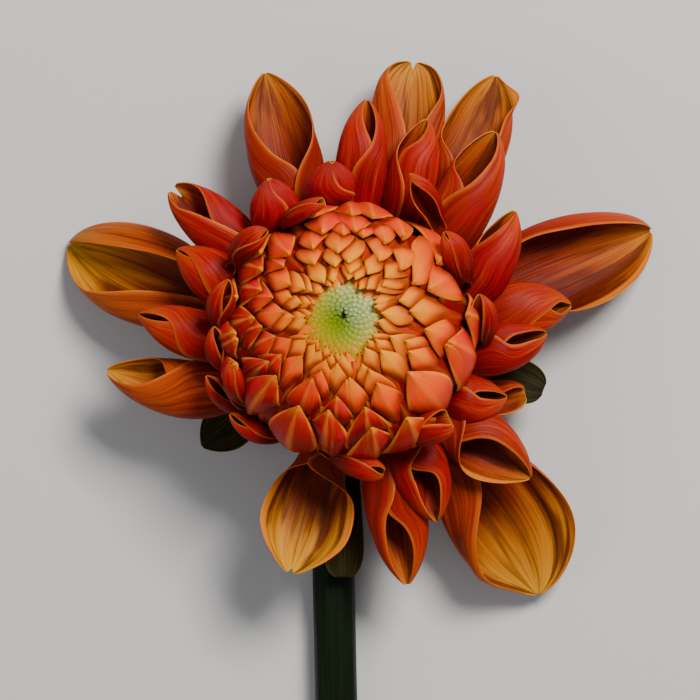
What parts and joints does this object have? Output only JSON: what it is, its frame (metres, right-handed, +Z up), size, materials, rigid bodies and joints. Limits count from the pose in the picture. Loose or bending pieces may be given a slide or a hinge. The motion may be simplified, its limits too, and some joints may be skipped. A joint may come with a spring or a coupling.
{
  "type": "dahlia flower",
  "caption": "Half-open dahlia bloom with a dome of scale petals, rolled outer petals and a short cut stem, lying on its back for display.",
  "frame": {"origin": "centre of the flower's box at the surface that it lies on", "axes": "+Z up, the way the bloom faces; the stem lies towards -Y; +X to the right seen from above"},
  "size_m": [0.108, 0.1458, 0.0423],
  "materials": {
    "scale_petal": "soft satin coral-orange petal, paler towards the centre and red at the rim",
    "green_button": "moist lime green of unopened florets",
    "golden_petal": "satin petal, red-orange outside and golden orange inside, with fine lengthwise streaks",
    "bract_green": "matt dark olive leaf with fine veins",
    "stem_green": "smooth dark green stem"
  },
  "bodies": {
    "root": {"dome_petals": "scale_petal", "button": "green_button", "outer_petals": "golden_petal", "calyx": "bract_green", "stem": "stem_green"}
  },
  "joints": []
}
